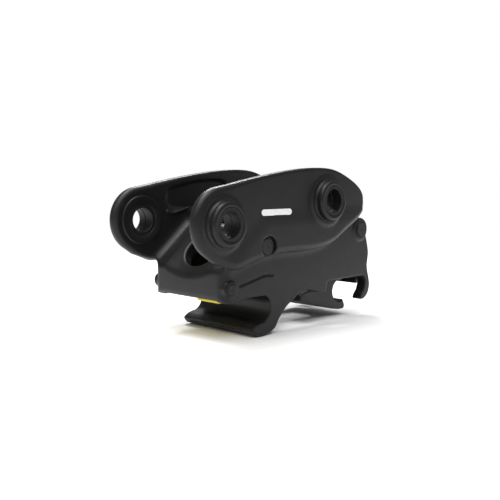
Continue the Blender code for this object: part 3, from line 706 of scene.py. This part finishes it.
def ring_profile(inner, outer, start, end, chamfer):
    """A flat ring between two distances, its edges broken."""
    return [(inner, end - chamfer), (inner + chamfer, end), (outer - chamfer, end),
            (outer, end - chamfer), (outer, start + chamfer), (outer - chamfer, start),
            (inner + chamfer, start), (inner, start + chamfer)]


def turned_pieces():
    """Everything that is turned about a pin axis."""
    for side, sign in SIDES:
        for pin, axis in (("dipper", DIPPER_AXIS), ("link", LINK_AXIS)):
            place = along_pin(axis, sign)
            turned(f"{pin}_collar_{side}", hub_profile(), place,
                   "coupler_frame", "black_paint", f"{pin}_hub_{side}", sides=128, sharp=50)
            turned(f"{pin}_pin_bush_{side}", bush_profile(), place,
                   "coupler_frame", "dark_steel", f"{pin}_bush_{side}", sides=128)
        for pin, axis in (("lock", LOCK_AXIS), ("anchor", ANCHOR_AXIS), ("hook", HOOK_AXIS)):
            low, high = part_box(f"{pin}_ring_{side}")
            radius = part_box(f"{pin}_pin")[1].z - pin_place(f"{pin}_pin").z
            sunk = LOCK_SUNK if pin == "lock" else 0.0
            start, end = (value - sunk for value in sorted((abs(low.y), abs(high.y))))
            profile = ring_profile(radius + 0.0003, radius + 0.0065, start, end, 0.0006)
            turned(f"{pin}_snap_ring_{side}", profile, along_pin(axis, sign),
                   "coupler_frame", "dark_steel", f"{pin}_ring_{side}")
        low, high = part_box(f"rod_pin_ring_{side}")
        start, end = sorted((abs(low.y), abs(high.y)))
        turned(f"rod_pin_clip_{side}", ring_profile(0.0183, 0.024, start, end, 0.0005),
               along_pin(ROD_AXIS, sign), "hook", "dark_steel", f"rod_pin_ring_{side}")
        turned(f"hook_eye_bush_{side}", ring_profile(0.0256, 0.0307, 0.070, HOOK_HALF, 0.001),
               along_pin(HOOK_AXIS, sign), "hook", "bronze", f"hook_bush_{side}")
    for pin, axis, body, look in (("lock_pin", LOCK_AXIS, "coupler_frame", "black_paint"),
                                  ("anchor_pin", ANCHOR_AXIS, "coupler_frame", "black_paint"),
                                  ("hook_pin", HOOK_AXIS, "coupler_frame", "black_paint"),
                                  ("rod_pin", ROD_AXIS, "hook", "bare_steel")):
        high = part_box(pin)[1]
        half = high.y - (LOCK_SUNK if pin == "lock_pin" else 0.0)
        profile = pin_profile(high.z - pin_place(pin).z, half)
        turned(f"{pin}_turned", profile, along_pin(axis), body, look, pin)


# --- front lock, webs, springs and labels -----------------------------------------------------
def lock_outline():
    """Side view of the yellow lock bar: eye, straight underside and blunt nose."""
    return (arc(LOCK_AXIS, LOCK_EYE_RADIUS, 40, 262, 28) + [(0.076, -0.2415), (0.150, -0.2535)]
            + arc((0.156, -0.2435), 0.010, -90, 40, 10) + [(0.140, -0.222)])


def front_lock():
    """The lock bar as a small casting with a low lip on its near half, and its return springs."""
    grid = Grid((0.044, -0.122, -0.280), (0.180, 0.122, -0.168), FINE_CELL)
    bar = rounded(grid.outline(lock_outline()), np.abs(grid.y) - LOCK_HALF, 0.004)
    lip = grid.outline([(0.0725, -0.235), (0.0730, -0.258), (0.092, -0.258), (0.120, -0.252),
                        (0.120, -0.235)])
    length = np.maximum(-LOCK_HALF - grid.y, grid.y + LOCK_LIP_END)
    bar = join(bar, rounded(lip, length, 0.002), 0.003)
    bar = cut(bar, grid.bar(LOCK_AXIS, LOCK_BORE), 0.002)
    piece("front_lock_bar", skin("front_lock_bar", grid, bar), "lock", "yellow_paint", "front_lock")
    turns, steps, coil, wire = 2.5, 32, 0.0210, 0.0018
    start, length = 0.1195, 0.0105
    for side, sign in SIDES:
        points = []
        for i in range(int(turns * steps) + 1):
            angle = math.pi / 2 + 2 * math.pi * i / steps
            points.append(Vector((LOCK_AXIS[0] + coil * math.cos(angle),
                                  sign * (start + length * i / (turns * steps)),
                                  LOCK_AXIS[1] + coil * math.sin(angle))) + ORIGIN)
        points.append(points[-1] + Vector((0.022, 0.0, 0.001)))
        tube_piece(f"lock_torsion_spring_{side}", points, wire, "coupler_frame", "bare_steel",
                   f"lock_spring_{side}")


def webs_and_labels():
    """Cross web under the cylinder, wall between the rear prongs, and the plain labels."""
    web_rise, wall_thickness = 0.009, 0.011
    low, high = (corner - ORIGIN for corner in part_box("belly_web"))
    outline = [(low.x, low.z + web_rise), (low.x, high.z), (high.x, high.z), (high.x, low.z)]
    plate_piece("belly_cross_web", outline, low.y, high.y, 0.0025, "coupler_frame", "black_paint",
                "belly_web")
    outer = smooth([(0.7895, -0.262), (0.7895, -0.215), (0.7865, -0.170), (0.786, -0.118)])
    inner = [(x - wall_thickness, z) for x, z in outer]
    plate_piece("rear_cross_wall", outer + inner[::-1], low.y, high.y, 0.004, "coupler_frame",
                "black_paint", "rear_wall")
    for side, sign in SIDES:
        ends = arc((0.292, 0.030), 0.010, -90, 90, 16) + arc((0.170, 0.030), 0.010, 90, 270, 16)
        start, end = sorted((sign * (EAR_OUTER + 0.0003), sign * (EAR_OUTER + 0.0012)))
        plate_piece(f"plain_label_{side}", ends, start, end, 0.0003, "coupler_frame", "white_film",
                    f"blank_label_{side}")


# --- rear hook --------------------------------------------------------------------------------
HOOK_EYE_HOLE, ROD_PIN_HOLE = 0.0312, 0.0186
ROD_SLOT = (0.380, -0.038, -0.230), (0.770, 0.038, -0.106)
TOE_SLOT = (0.380, -0.055, -0.400), (0.595, 0.055, -0.160)


def hook_outline():
    """Side view of the moving hook: eye, body, forward toe, lip and pin seat."""
    eye = arc(HOOK_AXIS, 0.041, -25, 192, 40)
    front = smooth([(0.690, -0.080), (0.664, -0.130), (0.645, -0.180), (0.612, -0.232),
                    (0.545, -0.256), (0.480, -0.266)])
    toe = smooth([(0.462, -0.274), (0.457, -0.287), (0.466, -0.300), (0.534, -0.318),
                  (0.603, -0.336), (0.680, -0.352), (0.715, -0.352)])
    lip = [(0.722, -0.344), (0.7175, -0.329)]
    seat = arc(SEAT_CENTRE, SEAT_RADIUS, -58, -285, 40)
    back = smooth([(0.706, -0.238), (0.722, -0.226), (0.741, -0.180), (0.7635, -0.120)])
    return eye + front + toe + lip + seat + back


def slab(grid, low, high):
    """Distance to a plain box from corner to corner."""
    sides = [np.maximum(a - axis, axis - b)
             for axis, a, b in zip((grid.x, grid.y, grid.z), low, high)]
    return np.maximum(np.maximum(sides[0], sides[1]), sides[2])


def rear_hook():
    """The hook as a casting, forked for the cylinder's rod and open at its toe."""
    grid = Grid((0.445, -0.131, -0.358), (0.796, 0.131, 0.002), CELL)
    hook = rounded(grid.outline(hook_outline()), np.abs(grid.y) - HOOK_HALF, 0.0045)
    hook = cut(hook, slab(grid, *ROD_SLOT), 0.006)
    hook = cut(hook, slab(grid, *TOE_SLOT), 0.010)
    hook = cut(hook, grid.bar(HOOK_AXIS, HOOK_EYE_HOLE), 0.002)
    hook = cut(hook, grid.bar(ROD_AXIS, ROD_PIN_HOLE), 0.002)
    mesh = skin("rear_hook_casting", grid, hook)
    piece("rear_hook_casting", mesh, "hook", "black_paint", "rear_hook")


# --- hydraulic cylinder -----------------------------------------------------------------------
BARREL_RADIUS, BORE_RADIUS, ROD_RADIUS = 0.042, 0.033, 0.020


def bead(radius, centre, size):
    """Weld bead on a turned profile: a half round at a distance along it."""
    return [(radius + size * math.sin(a), centre + size * math.cos(a))
            for a in (math.pi * i / 8 for i in range(9))]


def turned_on_cylinder(name, profile, body, look, node, sides=72):
    """A closed profile turned about the cylinder axis."""
    turned(name, profile, along_cylinder(), body, look, node, sides)


def cylinder_pieces():
    """Barrel, gland, wiper, piston, seal, nut and rod."""
    turned_on_cylinder("cylinder_barrel_tube",
                       [(BORE_RADIUS, 0.3400), (BARREL_RADIUS - 0.001, 0.3400),
                        (BARREL_RADIUS, 0.3390)]
                       + bead(BARREL_RADIUS - 0.0008, 0.0655, 0.0035)
                       + [(BARREL_RADIUS, 0.0603), (BORE_RADIUS, 0.0603)],
                       "cylinder", "black_paint", "cylinder_barrel")
    turned_on_cylinder("cylinder_head_gland",
                       [(ROD_RADIUS + 0.0005, 0.3560), (BARREL_RADIUS - 0.002, 0.3560),
                        (BARREL_RADIUS, 0.3540), (BARREL_RADIUS, 0.3500),
                        (BARREL_RADIUS - 0.0015, 0.3490), (BARREL_RADIUS - 0.0015, 0.3460),
                        (BARREL_RADIUS, 0.3450),
                        (BARREL_RADIUS, 0.3403), (BORE_RADIUS - 0.0003, 0.3403),
                        (BORE_RADIUS - 0.0003, 0.3150), (ROD_RADIUS + 0.0005, 0.3150)],
                       "cylinder", "dark_steel", "cylinder_gland")
    turned_on_cylinder("rod_wiper_lip",
                       [(ROD_RADIUS + 0.0005, 0.3610), (ROD_RADIUS + 0.0020, 0.3610),
                        (0.0285, 0.3590), (0.0300, 0.3580), (0.0300, 0.3563),
                        (ROD_RADIUS + 0.0005, 0.3563)],
                       "cylinder", "seal_rubber", "rod_wiper")
    outer = BORE_RADIUS - 0.0003
    turned_on_cylinder("piston_head",
                       [(0.0123, 0.215), (outer - 0.001, 0.215), (outer, 0.214), (outer, 0.203),
                        (0.029, 0.203), (0.029, 0.193), (outer, 0.193), (outer, 0.182),
                        (outer - 0.001, 0.181), (0.0123, 0.181)],
                       "rod", "bare_steel", "piston")
    turned_on_cylinder("piston_seal_band",
                       [(0.0293, 0.2027), (outer - 0.0005, 0.2027), (outer, 0.2020),
                        (outer, 0.1940), (outer - 0.0005, 0.1933), (0.0293, 0.1933)],
                       "rod", "seal_rubber", "piston_seal")
    turned_on_cylinder("piston_lock_nut",
                       [(0.0123, 0.1807), (0.0200, 0.1807), (0.0210, 0.1797), (0.0210, 0.1700),
                        (0.0200, 0.1690), (0.0123, 0.1690)],
                       "rod", "bare_steel", "piston_nut")
    turned_on_cylinder("piston_rod_shaft",
                       [(0.0, 0.468), (ROD_RADIUS - 0.001, 0.468), (ROD_RADIUS, 0.467),
                        (ROD_RADIUS, 0.2165), (ROD_RADIUS - 0.0012, 0.2153), (0.0120, 0.2153),
                        (0.0120, 0.169), (0.0110, 0.168), (0.0, 0.168)],
                       "rod", "chrome", "piston_rod")


def eyes():
    """Forged eyes at the two ends of the cylinder, blended into their necks."""
    for name, node, body, look, half, radius, bore, neck in (
            ("cylinder_base_eye", "cylinder_base", "cylinder", "black_paint", 0.036, 0.035, 0.0268,
             (0.020, 0.0598, 0.0400)),
            ("rod_eye_forging", "rod_eye", "rod", "dark_steel", 0.034, 0.034, 0.0210,
             (-0.0457, -0.0135, 0.0240))):
        centre = (0.0, 0.0) if body == "cylinder" else (0.0, math.dist(ANCHOR_AXIS, ROD_AXIS))
        grid = Grid((-0.046, -0.046, centre[1] - 0.050), (0.046, 0.046, centre[1] + 0.066),
                    FINE_CELL)
        start, end, width = neck
        around = np.hypot(grid.x, grid.y)
        eye = rounded(grid.bar(centre, radius), np.abs(grid.y) - half, 0.003)
        middle = centre[1] + (start + end) / 2
        stem = rounded(around - width, np.abs(grid.z - middle) - (end - start) / 2, 0.003)
        eye = cut(join(eye, stem, 0.008), grid.bar(centre, bore), 0.002)
        mesh = skin(name, grid, eye, along_cylinder())
        piece(name, mesh, body, look, node)


def valve():
    """Check valve block saddled on the barrel, its two port adapters and the hard line."""
    grid = Grid((-0.075, -0.034, 0.108), (-0.030, 0.034, 0.192), FINEST_CELL)
    block = rounded(np.abs(grid.x + 0.0520) - 0.0170, np.abs(grid.z - 0.150) - 0.035, 0.003)
    block = rounded(block, np.abs(grid.y) - 0.028, 0.003)
    block = cut(block, np.hypot(grid.x, grid.y) - BARREL_RADIUS - 0.0003)
    piece("check_valve_block", skin("check_valve_block", grid, block, along_cylinder()),
          "cylinder", "bare_steel", "check_valve")
    collar = [(0.0, 0.0), (0.0090, 0.0), (0.0090, 0.0070), (0.0080, 0.0085)]
    thread = [(0.0055 - 0.0006 * (i % 2), 0.0092 + 0.0008 * i) for i in range(8)]
    profile = (collar + thread
               + [(0.0050, 0.0160), (0.0030, 0.0160), (0.0030, 0.0080), (0.0, 0.0080)])
    for name, y in (("open", -0.015), ("close", 0.015)):
        place = along_cylinder(0.0693, y, 0.140) @ Matrix.Rotation(-math.pi / 2, 4, "Y")
        turned(f"port_adapter_{name}_fitting", profile, place,
               "cylinder", "bare_steel", f"port_adapter_{name}", sides=24)
    route = [(0.058, 0.1853), (0.058, 0.272)]
    route += [(lift, run) for run, lift in arc((0.286, 0.044), 0.014, 90, 0, 12)]
    route += [(0.0428, 0.300)]
    turn = Matrix.Translation(ORIGIN) @ along_cylinder()
    points = [turn @ Vector((-lift, 0.0, run)) for lift, run in route]
    tube_piece("transfer_line", points, 0.005, "cylinder", "bare_steel", "transfer_tube")


# --- stage, lights and camera -----------------------------------------------------------------
def flat_colour_surface(name, colour, roughness):
    """Matt studio surface with a faint tooth."""
    material, tree, shader, where = new_material(name, roughness)
    faint = noise(tree, where, 3.0, 2.0)
    darker = tuple(value * 0.985 for value in colour)
    tree.links.new(ramp(tree, faint, [(0.3, darker), (0.7, colour)]), shader.inputs["Base Color"])
    return material


def build_stage():
    """A wide pale floor under the coupler."""
    mesh = bpy.data.meshes.new("studio_floor")
    shape = bmesh.new()
    bmesh.ops.create_grid(shape, x_segments=1, y_segments=1, size=40.0)
    shape.to_mesh(mesh)
    shape.free()
    floor = bpy.data.objects.new("studio_floor", mesh)
    floor.location.z = -0.0005
    bpy.context.scene.collection.objects.link(floor)
    mesh.materials.append(flat_colour_surface("studio_floor_white", (0.97, 0.97, 0.97), 0.95))


def area_light(name, place, target, size, power):
    """A soft rectangular light aimed at a point."""
    light = bpy.data.lights.new(name, "AREA")
    light.shape = "RECTANGLE"
    light.size, light.size_y = size
    light.energy = power
    obj = bpy.data.objects.new(name, light)
    obj.location = place
    aim = Vector(target) - Vector(place)
    obj.rotation_euler = aim.to_track_quat("-Z", "Y").to_euler()
    bpy.context.scene.collection.objects.link(obj)


AMBIENT, BACKDROP = 0.26, 1.0
SUN_STRENGTH, SUN_SPREAD = 2.75, math.radians(70)
SUN_TILT = (math.radians(12), math.radians(-14), 0.0)
AREA_LIGHTS = (  # name, place, target, size in metres, power in watts
    ("overhead", (-0.5, 0.3, 2.4), (0.0, 0.0, 0.3), (1.2, 0.9), 24.0),
    ("front", (-2.6, 0.6, 1.6), (-0.1, 0.0, 0.3), (1.6, 1.2), 6.0),
    ("rim", (1.0, 1.4, 2.1), (-0.1, 0.0, 0.4), (1.2, 0.25), 42.0),
)
CAMERA_AZIMUTH, CAMERA_ELEVATION = math.radians(-45.634), math.radians(5.309)
CAMERA_PLACE, LENS, SENSOR_WIDTH = (-1.76084, -1.7017, 0.4909), 50.0, 36.0


def build_lights():
    """White backdrop over dim surroundings, a broad high sun, an overhead panel, fill and rim."""
    world = bpy.data.worlds.new("studio")
    world.use_nodes = True
    tree = world.node_tree
    background = tree.nodes["Background"]
    background.inputs["Color"].default_value = (1.0, 1.0, 1.0, 1.0)
    seen = tree.nodes.new("ShaderNodeLightPath")
    strength = tree.nodes.new("ShaderNodeMapRange")
    strength.inputs["To Min"].default_value = AMBIENT
    strength.inputs["To Max"].default_value = BACKDROP
    tree.links.new(seen.outputs["Is Camera Ray"], strength.inputs["Value"])
    tree.links.new(strength.outputs["Result"], background.inputs["Strength"])
    bpy.context.scene.world = world
    sun = bpy.data.lights.new("high_sun", "SUN")
    sun.energy = SUN_STRENGTH
    sun.angle = SUN_SPREAD
    high_sun = bpy.data.objects.new("high_sun", sun)
    high_sun.rotation_euler = SUN_TILT
    bpy.context.scene.collection.objects.link(high_sun)
    for light in AREA_LIGHTS:
        area_light(*light)


def build_camera():
    """Camera a little above the pins, looking at the front and the left side."""
    flat = math.cos(CAMERA_ELEVATION)
    back = Vector((math.sin(CAMERA_AZIMUTH) * flat, -math.cos(CAMERA_AZIMUTH) * flat,
                   math.sin(CAMERA_ELEVATION)))
    right = Vector((math.cos(CAMERA_AZIMUTH), math.sin(CAMERA_AZIMUTH), 0.0))
    up = back.cross(right)
    camera = bpy.data.cameras.new("camera")
    camera.lens, camera.sensor_width = LENS, SENSOR_WIDTH
    obj = bpy.data.objects.new("camera", camera)
    turn = Matrix((right, up, back)).transposed().to_4x4()
    obj.matrix_world = Matrix.Translation(CAMERA_PLACE) @ turn
    bpy.context.scene.collection.objects.link(obj)
    bpy.context.scene.camera = obj


bpy.context.scene.view_settings.view_transform = "Standard"
side_castings()
centre_castings()
turned_pieces()
front_lock()
webs_and_labels()
rear_hook()
cylinder_pieces()
eyes()
valve()
build_stage()
build_lights()
build_camera()
